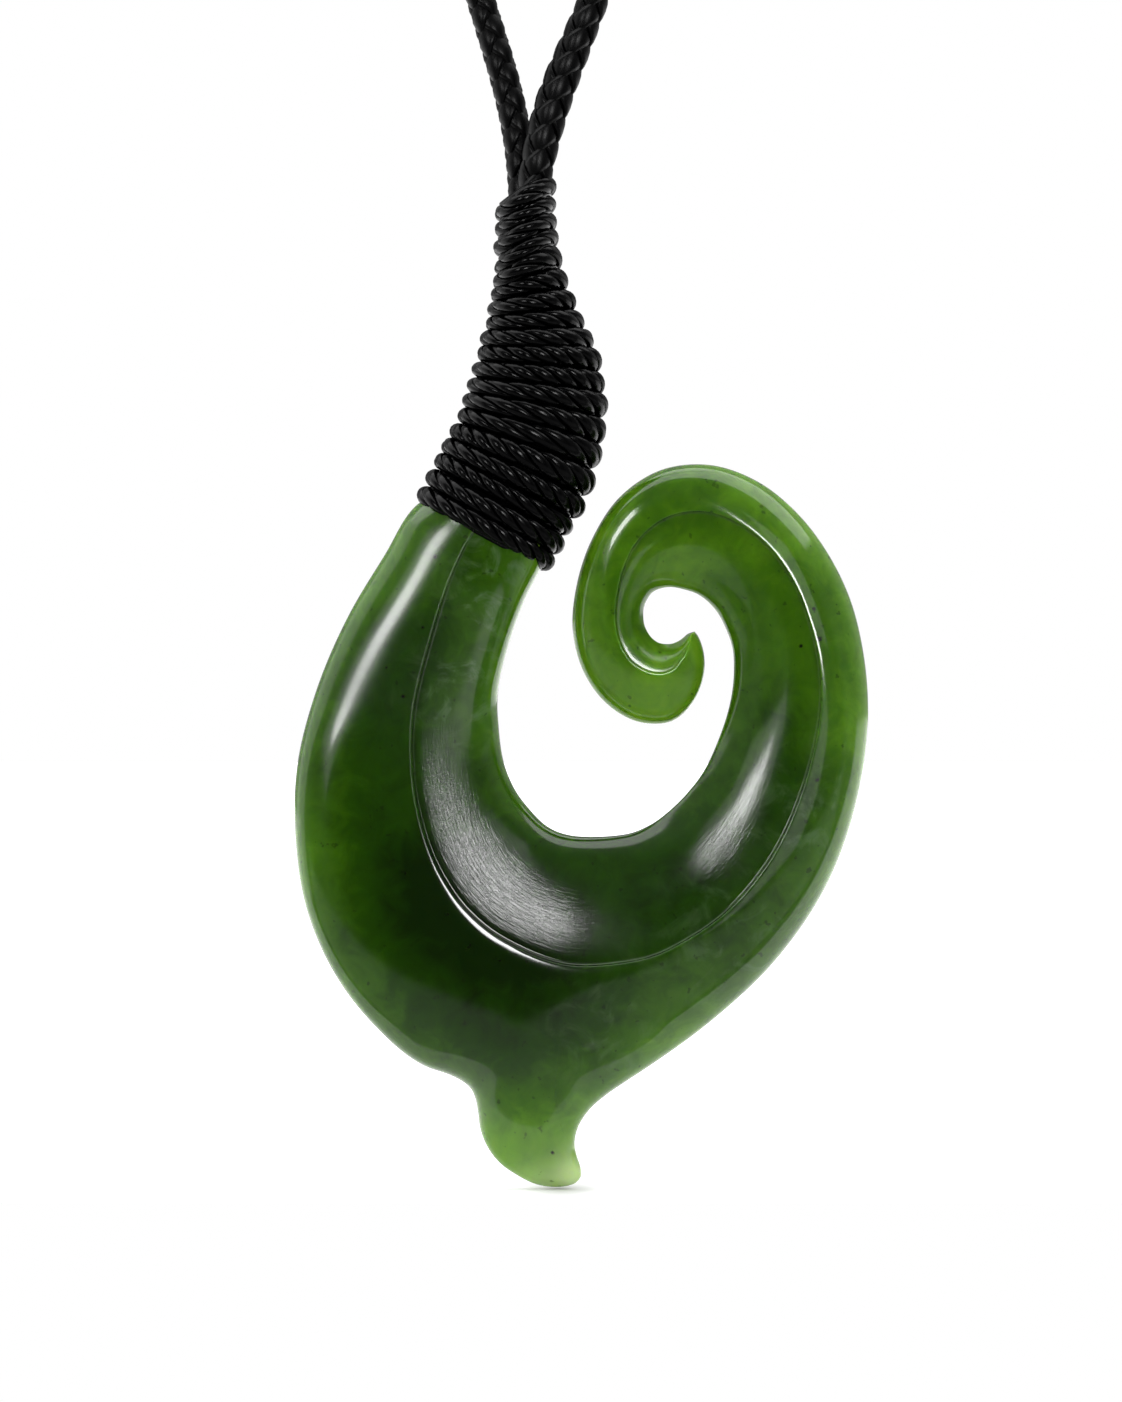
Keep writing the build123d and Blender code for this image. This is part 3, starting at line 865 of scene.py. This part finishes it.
class Nodes:
    """A tree's nodes, made one at a time and linked by name."""

    def __init__(self, tree):
        self.tree = tree

    def node(self, kind, links=None, **settings):
        """A node with its settings. links gives its inputs, by name or number, a value or a node's output."""
        made = self.tree.nodes.new(kind)
        for key, value in settings.items():
            setattr(made, key, value)
        for key, value in (links or {}).items():
            self.put(made.inputs[key], value)
        return made

    def put(self, socket, value):
        """Gives an input a value, or links it to another node's output."""
        if isinstance(value, bpy.types.NodeSocket):
            self.tree.links.new(value, socket)
        else:
            socket.default_value = value

    def maths(self, operation, first, second=0.0, third=0.0, clamp=False):
        """The output of a sum, product or other operation on up to three values."""
        values = {0: first, 1: second, 2: third}
        return self.node("ShaderNodeMath", values, operation=operation, use_clamp=clamp).outputs[0]

    def vector_maths(self, operation, first, second=(0, 0, 0), output="Vector"):
        """The output of an operation on one or two vectors."""
        return self.node("ShaderNodeVectorMath", {0: first, 1: second}, operation=operation).outputs[output]

    def ramp(self, value, stops, interpolation="LINEAR"):
        """A colour ramp's output."""
        made = self.node("ShaderNodeValToRGB", {0: value})
        made.color_ramp.interpolation = interpolation
        elements = made.color_ramp.elements
        while len(elements) < len(stops):
            elements.new(0.5)
        for element, stop in zip(elements, stops):
            element.position = stop.place
            element.color = (*stop.colour, 1)
        return made.outputs["Color"]

    def centred(self, value, amount):
        """A noise's value, moved to lie about 0 and scaled by an amount."""
        return self.maths("MULTIPLY", self.maths("SUBTRACT", value, 0.5), amount)

    def mix(self, share, first, second):
        """A colour with a share of a second, fixed colour in it."""
        colours = {mix_share: share, mix_first: first, mix_second: (*second, 1)}
        return self.node("ShaderNodeMix", colours, data_type="RGBA").outputs[mix_result]

    def bump(self, height, strength, distance):
        """The surface's direction, bent by a height."""
        links = {"Height": height, "Strength": strength, "Distance": distance}
        return self.node("ShaderNodeBump", links).outputs["Normal"]


class Shader(Nodes):
    """A material with its nodes and the object's own coordinates."""

    def __init__(self, name):
        self.material = bpy.data.materials.new(name)
        self.material.use_nodes = True
        super().__init__(self.material.node_tree)
        self.surface = self.tree.nodes["Principled BSDF"]
        self.coordinates = self.node("ShaderNodeTexCoord").outputs["Object"]

    def noise(self, noise, coordinates=None):
        """A noise texture's value at the given coordinates, or else the object's own."""
        return self.node("ShaderNodeTexNoise", {
            "Vector": coordinates or self.coordinates, "Scale": noise.scale, "Detail": noise.detail,
            "Roughness": noise.roughness, "Distortion": noise.distortion,
        }).outputs["Fac"]

    def attribute(self, name):
        """A value that the mesh carries."""
        return self.node("ShaderNodeAttribute", attribute_name=name).outputs["Fac"]

    def set(self, **values):
        """Puts values on the surface's own sockets. A name's underscores stand for spaces."""
        for name, value in values.items():
            self.put(self.surface.inputs[name.replace("_", " ")], value)


# The stone's colours, from its deep core to the clear thin parts, whose bright end is partly painted light
# shining through thin stone, and how much two noises move it along them
STONE_RAMP = [
    Stop(0.00, (0.0028, 0.0100, 0.0003)),
    Stop(0.25, (0.0105, 0.0400, 0.0008)),
    Stop(0.50, (0.0360, 0.1060, 0.0030)),
    Stop(0.75, (0.1020, 0.2350, 0.0080)),
    Stop(1.00, (0.2100, 0.3900, 0.0160)),
]
broad_noise = Noise(110, 4, 0.55, 0.5)
broad_change = 0.34
mottle_noise = Noise(420, 5, 0.62, 0.8)
mottle_change = 0.34

# What lies over the stone's colour: milky wisps that are partly a painted pale reflection, the tail's foot
# painted pale as if lit through, small dark flecks, and black specks
wisp_noise = Noise(300, 5, 0.6, 1.5)
WISP_RAMP = [Stop(0.48, black), Stop(0.72, white)]
cloud_and_veil_colour = (0.16, 0.25, 0.13)
cloud_and_veil_share = 0.45
painted_foot_glow_colour = (0.42, 0.54, 0.25)
fleck_noise = Noise(1500, 2, 0.5, 0)
FLECK_RAMP = [Stop(0.27, white), Stop(0.31, black)]
fleck_share = 0.5
speck_colour = (0.003, 0.006, 0.001)
speck_noise = Noise(2200, 2, 0.6, 0)
speck_raggedness = 2.0
speck_fullness = 0.5

# The stone's skin: how rough it is, and how much rougher where it is satin, soft or grainy. The scratches'
# noise is read in millimetres along and across the bowl.
polished_roughness = 0.10
satin_roughness = 0.12
soft_roughness = 0.07
grain_roughness = 0.06
grain_noise = Noise(2600, 3, 0.6, 0)
grain_depth = 0.0006 * MM
scratch_noise = Noise(1.0, 3, 0.6, 0.9)
scratch_stretch = (0.7, 6.0, 1.0)
scratch_depth = 0.026 * MM

# Black specks: where they lie, as shares like the cuts, and their size as a share of the hook's width
Speck = namedtuple("Speck", "x z size")
SPECKS = [
    Speck(0.911, 0.619, 0.0045),
    Speck(0.880, 0.611, 0.0030),
    Speck(0.902, 0.653, 0.0030),
    Speck(0.908, 0.461, 0.0034),
    Speck(0.224, 0.632, 0.0028),
    Speck(0.161, 0.587, 0.0026),
    Speck(0.190, 0.555, 0.0030),
    Speck(0.449, 0.041, 0.0026),
    Speck(0.245, 0.712, 0.0030),
]

# The cords and the clasp
cord_noise = Noise(420, 3, 0.5, 0)
CORD_RAMP = [Stop(0.35, (0.0001, 0.0001, 0.0002)), Stop(0.70, (0.0005, 0.0005, 0.0006))]
clasp_noise = Noise(900, 3, 0.6, 0)
clasp_colour = (0.48515, 0.48515, 0.49693)


def speck_mask(shader):
    """How black the stone is at its few specks."""
    ragged = shader.noise(speck_noise)
    ragged = shader.maths("MULTIPLY_ADD", ragged, speck_raggedness, speck_fullness)
    flat = shader.vector_maths("MULTIPLY", shader.coordinates, (1, 0, 1))
    total = 0.0
    for speck in SPECKS:
        x, z = place(speck.x, speck.z)
        away = shader.vector_maths("DISTANCE", flat, (x, 0, z), output="Value")
        ratio = shader.maths("DIVIDE", away, speck.size * hook_width)
        inside = shader.maths("SUBTRACT", ragged, ratio, clamp=True)
        total = shader.maths("MAXIMUM", total, inside)
    return total


def stone_material():
    """Polished green stone, cloudy, with specks and, in its bowl, fine scratches. Its colour is painted
    darker in the thick core and brighter in thin parts and along the edges, as if lit through and at the rim.
    """
    shader = Shader("green_stone")
    # The colour value: the stone's own uneven tone, with painted light of thin stone and of its edges in it
    tone_and_painted_glow = shader.attribute("tone_and_painted_glow")
    for noise, change in ((broad_noise, broad_change), (mottle_noise, mottle_change)):
        tone_and_painted_glow = shader.maths("ADD", tone_and_painted_glow, shader.centred(shader.noise(noise), change))
    wisps = shader.ramp(shader.noise(wisp_noise), WISP_RAMP, "EASE")
    clouds_and_veil = shader.maths("MULTIPLY", shader.attribute("cloud_and_painted_veil"), wisps)
    flecks = shader.ramp(shader.noise(fleck_noise), FLECK_RAMP)
    shade = shader.ramp(tone_and_painted_glow, STONE_RAMP)
    # Painted light lies over the colour here too: the milky wisps carry a painted pale reflection, and the
    # tail's foot is painted pale as if lit through.
    for share, tint in (
        (shader.maths("MULTIPLY", clouds_and_veil, cloud_and_veil_share), cloud_and_veil_colour),
        (shader.attribute("pale"), painted_foot_glow_colour),
        (shader.maths("MULTIPLY", flecks, fleck_share), speck_colour),
        (speck_mask(shader), speck_colour),
    ):
        shade = shader.mix(share, shade, tint)

    grain = shader.noise(grain_noise)
    satin = shader.attribute("satin")
    soft = shader.maths("MULTIPLY", shader.attribute("soft"), soft_roughness)
    rough = shader.maths("MULTIPLY_ADD", satin, satin_roughness, polished_roughness)
    rough = shader.maths("ADD", rough, shader.centred(grain, grain_roughness))
    rough = shader.maths("ADD", rough, soft)
    along, across = shader.attribute("along_mm"), shader.attribute("across_mm")
    band = shader.node("ShaderNodeCombineXYZ", {"X": along, "Y": across}).outputs[0]
    stretched = shader.node("ShaderNodeMapping", {"Vector": band, "Scale": scratch_stretch}).outputs[0]
    scratches = shader.maths("MULTIPLY", shader.noise(scratch_noise, stretched), satin)
    depth = shader.maths("MULTIPLY", scratches, scratch_depth)
    depth = shader.maths("ADD", depth, shader.maths("MULTIPLY", grain, grain_depth))
    shader.set(
        Base_Color=shade, Roughness=rough, IOR=1.61, Specular_IOR_Level=0.32,
        Normal=shader.bump(depth, strength=1.0, distance=1.0),
        Subsurface_Weight=1.0, Subsurface_Radius=(0.6, 1.0, 0.2), Subsurface_Scale=0.9 * MM)
    return shader.material


def cord_material(name, roughness):
    """Black waxed cord with a fine grain and a dull sheen."""
    shader = Shader(name)
    shade = shader.ramp(shader.noise(cord_noise), CORD_RAMP, "EASE")
    grain = shader.noise(grain_noise)
    shader.set(
        Base_Color=shade, Roughness=roughness, Specular_IOR_Level=0.1,
        Normal=shader.bump(grain, strength=0.15, distance=0.05 * MM))
    return shader.material


def clasp_material():
    """Satin steel with fine turned lines."""
    shader = Shader("clasp_metal")
    lines = shader.noise(clasp_noise)
    shader.set(
        Base_Color=(*clasp_colour, 1), Metallic=1.0, Roughness=0.32,
        Normal=shader.bump(lines, strength=0.1, distance=0.05 * MM))
    return shader.material


# Making the pieces

stone = build_stone(stone_material())
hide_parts("jade_hook")
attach(stone, "root")

lashing = build_lashing(cord_material("waxed_cord", roughness=0.2))
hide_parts("lashing")
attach(lashing, "root")

plait_material = cord_material("plaited_cord", roughness=0.34)
for plait in PLAITS:
    piece = build_plait(plait, plait_material)
    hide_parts(plait.node)
    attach(piece, "root")

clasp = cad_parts["clasp"]
clasp.data.materials.clear()
clasp.data.materials.append(clasp_material())


# The floor, the light and the camera

# The camera looks level at this point. The picture is taller than wide, so the sensor's size is its height.
view_centre = np.array([-3.6 * MM, plane_y, -212.8 * MM])
view_height = 107.8 * MM
lens = 150.0
sensor = 36.0
near_clip = 0.01

# The floor starts just in front of the pendant and runs far back
floor_gap = 0.15 * MM
floor_z = hook_low[2] - floor_gap
floor_reach = 3.0
floor_front = 0.012
floor_grey = (0.6, 0.6, 0.6)

# The floor gives more light of its own the farther it is from the tail, so that only a small soft shadow is
# left. Distances to the left and right count threefold, which keeps it narrow.
shadow_stretch = (3, 1, 1)
Rise = namedtuple("Rise", "start end light")
FLOOR_LIGHT = [
    Rise(1 * MM, 10 * MM, 0.45),
    Rise(20 * MM, 200 * MM, 0.80),
]

# How bright the studio is at an angle, in degrees, from straight in front of the pendant
half_turn = 180
Zone = namedtuple("Zone", "angle light")
STUDIO = [
    Zone(0, 0.01),
    Zone(10, 0.01),
    Zone(18, 0.02),
    Zone(27, 0.14),
    Zone(50, 0.14),
    Zone(56, 0.30),
    Zone(90, 0.35),
    Zone(120, 0.60),
    Zone(150, 0.45),
    Zone(180, 0.30),
]

# Each softbox's place and roll are in degrees, as seen from the pendant: azimuth is to the right of the
# camera. Its distance and sizes are in metres, and its light is its radiance.
Softbox = namedtuple("Softbox", "name azimuth elevation distance width height light roll")
SOFTBOXES = [
    Softbox("left_strip", -29.0, 17.8, 0.9, 0.16, 0.22, 19, -44),
    Softbox("left_card", -33, 17, 0.9, 0.42, 0.30, 1.3, -30),
    Softbox("front_box", 12.8, 10.9, 0.9, 0.215, 0.195, 34, 0),
    Softbox("side_card", 27, 20, 0.9, 0.30, 0.28, 1.2, 0),
    Softbox("dim_card", 15, -5, 0.9, 0.26, 0.18, 1.25, 0),
    Softbox("low_card", 0, -36, 0.155, 0.6, 0.10, 0.42, 0),
    Softbox("ceiling", 0, 90, 0.8, 2.2, 0.8, 3.2, 0),
    Softbox("left_wall", -98, 10, 0.9, 0.9, 0.9, 1.3, 0),
]


def make_floor():
    """A pale floor just under the tail, glowing more of its own away from the tail so that only a small soft
    shadow is left.
    """
    shader = Shader("floor")
    centre = (float(view_centre[0]), float(plane_y), float(floor_z))
    offset = shader.vector_maths("SUBTRACT", shader.coordinates, centre)
    offset = shader.vector_maths("MULTIPLY", offset, shadow_stretch)
    away = shader.vector_maths("LENGTH", offset, output="Value")
    rises = [
        shader.node("ShaderNodeMapRange", {
            "Value": away, "From Min": rise.start, "From Max": rise.end, "To Max": rise.light,
        }).outputs[0]
        for rise in FLOOR_LIGHT
    ]
    shader.set(
        Base_Color=(*floor_grey, 1), Roughness=0.8, Emission_Color=(*white, 1),
        Emission_Strength=shader.maths("ADD", *rises))
    front, back = plane_y - floor_front, floor_reach
    corners = np.array([
        (-floor_reach, front, floor_z), (floor_reach, front, floor_z),
        (floor_reach, back, floor_z), (-floor_reach, back, floor_z),
    ])
    floor = mesh_piece("floor", corners, [[0, 1, 2, 3]], shader.material, smooth=False)


def make_world():
    """A pale studio all round, dark only straight in front of the pendant. The camera sees plain white."""
    world = bpy.data.worlds.new("studio")
    bpy.context.scene.world = world
    world.use_nodes = True
    nodes = Nodes(world.node_tree)
    direction = nodes.node("ShaderNodeTexCoord").outputs["Generated"]
    facing = nodes.vector_maths("DOT_PRODUCT", direction, (0, -1, 0), output="Value")
    share = nodes.maths("DIVIDE", nodes.maths("ARCCOSINE", facing), math.pi)
    light = nodes.ramp(share, [Stop(zone.angle / half_turn, (zone.light,) * 3) for zone in STUDIO])
    seen = nodes.node("ShaderNodeLightPath").outputs["Is Camera Ray"]
    nodes.put(nodes.tree.nodes["Background"].inputs["Color"], nodes.mix(seen, light, white))


def make_softboxes():
    """Area lights that face the pendant."""
    for box in SOFTBOXES:
        azimuth, elevation = math.radians(box.azimuth), math.radians(box.elevation)
        away = np.array([
            math.sin(azimuth) * math.cos(elevation), -math.cos(azimuth) * math.cos(elevation),
            math.sin(elevation),
        ])
        light = bpy.data.lights.new(box.name, "AREA")
        light.shape = "RECTANGLE"
        light.size, light.size_y = box.width, box.height
        light.energy = box.light * math.pi * box.width * box.height
        lamp = bpy.data.objects.new(box.name, light)
        lamp.location = view_centre + away * box.distance
        facing = Vector(-away).to_track_quat("-Z", "Y").to_matrix()
        rolled = facing @ Matrix.Rotation(math.radians(box.roll), 3, "Z")
        lamp.rotation_euler = rolled.to_euler()
        bpy.context.scene.collection.objects.link(lamp)


def make_camera():
    """A long lens straight in front of the pendant."""
    data = bpy.data.cameras.new("camera")
    data.lens = lens
    data.sensor_width = sensor
    data.clip_start = near_clip
    camera = bpy.data.objects.new("camera", data)
    distance = view_height * lens / sensor
    camera.location = view_centre + np.array([0, -distance, 0])
    camera.rotation_euler = (math.radians(90), 0, 0)
    bpy.context.scene.collection.objects.link(camera)
    bpy.context.scene.camera = camera


make_floor()
make_world()
make_softboxes()
make_camera()
bpy.context.scene.view_settings.view_transform = "Standard"
